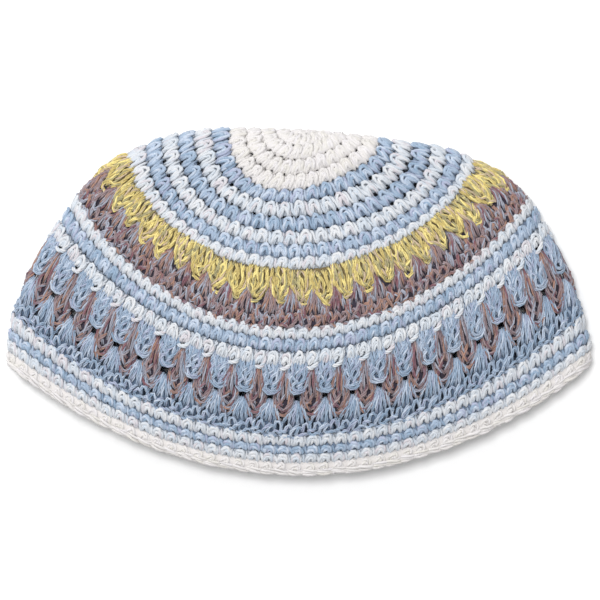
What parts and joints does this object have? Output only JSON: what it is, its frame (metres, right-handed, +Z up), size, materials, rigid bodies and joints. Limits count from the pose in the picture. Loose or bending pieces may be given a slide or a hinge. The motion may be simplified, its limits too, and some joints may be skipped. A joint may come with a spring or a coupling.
{
  "type": "crocheted skullcap, folded flat",
  "caption": "Crocheted skullcap of thick cotton rounds with stripes and an openwork cluster band, lying folded flat.",
  "frame": {"origin": "on the surface that the cap lies on, under the middle of its bounding box", "axes": "+X across the cap from one rim corner to the other, +Y from the rim to the crown, +Z up through the two layers"},
  "size_m": [0.24, 0.142, 0.034],
  "materials": {
    "warm_white_yarn": "matte spun cotton, warm white",
    "white_yarn": "matte spun cotton, white",
    "blue_yarn": "matte spun cotton, light blue plies of two tones",
    "yellow_yarn": "matte spun cotton, pale yellow and olive plies",
    "russet_yarn": "matte spun cotton, russet and grey-blue plies"
  },
  "bodies": {
    "root": {"crown_disc": "warm_white_yarn", "blue_stripe_1": "blue_yarn", "white_stripe_1": "white_yarn", "blue_stripe_2": "blue_yarn", "white_stripe_2": "white_yarn", "blue_stripe_3": "blue_yarn", "white_stripe_3": "white_yarn", "yellow_cluster_round": "yellow_yarn", "russet_fan_round": "russet_yarn", "white_side_round": "white_yarn", "blue_side_round": "blue_yarn", "white_dip_round": "white_yarn", "blue_cluster_round_upper": "blue_yarn", "russet_cluster_round": "russet_yarn", "blue_cluster_round_lower": "blue_yarn", "white_rim_round_upper": "white_yarn", "blue_rim_round": "blue_yarn", "white_rim_round_lower": "white_yarn", "rim_border": "warm_white_yarn"}
  },
  "joints": []
}
